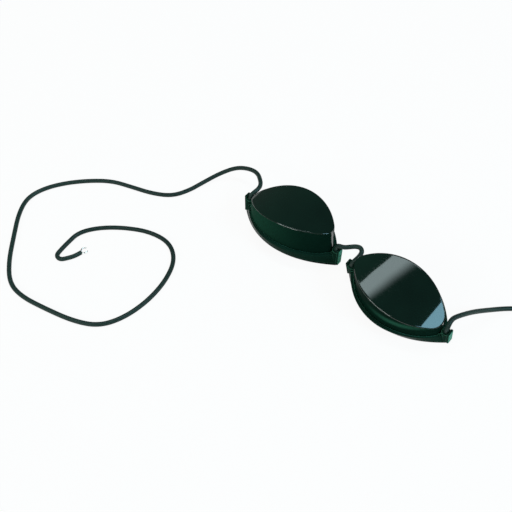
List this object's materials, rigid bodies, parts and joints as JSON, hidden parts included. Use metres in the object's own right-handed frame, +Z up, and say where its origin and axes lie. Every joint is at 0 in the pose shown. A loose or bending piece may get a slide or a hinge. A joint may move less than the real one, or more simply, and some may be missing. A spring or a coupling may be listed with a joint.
{
  "type": "tanning goggles",
  "caption": "Opaque dark green eye cups for sunbeds, each lemon shaped with a flat ledge and cord lugs, joined by a short cord over the nose and held on by an elastic head cord.",
  "frame": {"origin": "on the plane the goggles lie on, under the middle of the two eye cups with their bridge", "axes": "+X from the left eye cup to the right one, along the pair; +Z up, the way the windows face; +Y across the cups, to the side that the bridge cord bows towards"},
  "size_m": [0.2313, 0.1403, 0.0232],
  "materials": {
    "tinted_cup": "polished",
    "dark_rim": "polished",
    "soft_rim": "satin",
    "cord": "satin",
    "hook_metal": "bright"
  },
  "bodies": {
    "left_eye": {"left_lens_cup": "tinted_cup", "left_rim_frame": "dark_rim", "left_eye_gasket": "soft_rim", "left_strap_cord": "cord", "left_strap_knot": "cord", "strap_hook": "hook_metal"},
    "bridge": {"bridge_cord": "cord", "bridge_knot_left": "cord"},
    "bridge_end": {"bridge_knot_right": "cord"},
    "right_eye": {"right_lens_cup": "tinted_cup", "right_rim_frame": "dark_rim", "right_eye_gasket": "soft_rim", "right_strap_cord": "cord", "right_strap_knot": "cord", "strap_eye": "hook_metal"}
  },
  "joints": [
    {"name": "bridge_swivel", "type": "hinge", "parent": "left_eye", "child": "bridge", "pos_m": [-0.00492, 0.00192, 0.0088], "axis": [0, 0, 1], "range_deg": [-25, 25]},
    {"name": "bridge_fold", "type": "hinge", "parent": "bridge", "child": "bridge_end", "pos_m": [0, 0.0008, 0.013], "axis": [0.2182, 0.9759, 0], "range_deg": [-75, 12], "stiffness_Nm_per_rad": 0.0002, "deforming": ["bridge_cord"]},
    {"name": "right_eye_swivel", "type": "hinge", "parent": "bridge_end", "child": "right_eye", "pos_m": [0.00483, -0.00026, 0.0086], "axis": [-0.0103, -0.267, 0.9636], "range_deg": [-25, 25]}
  ]
}
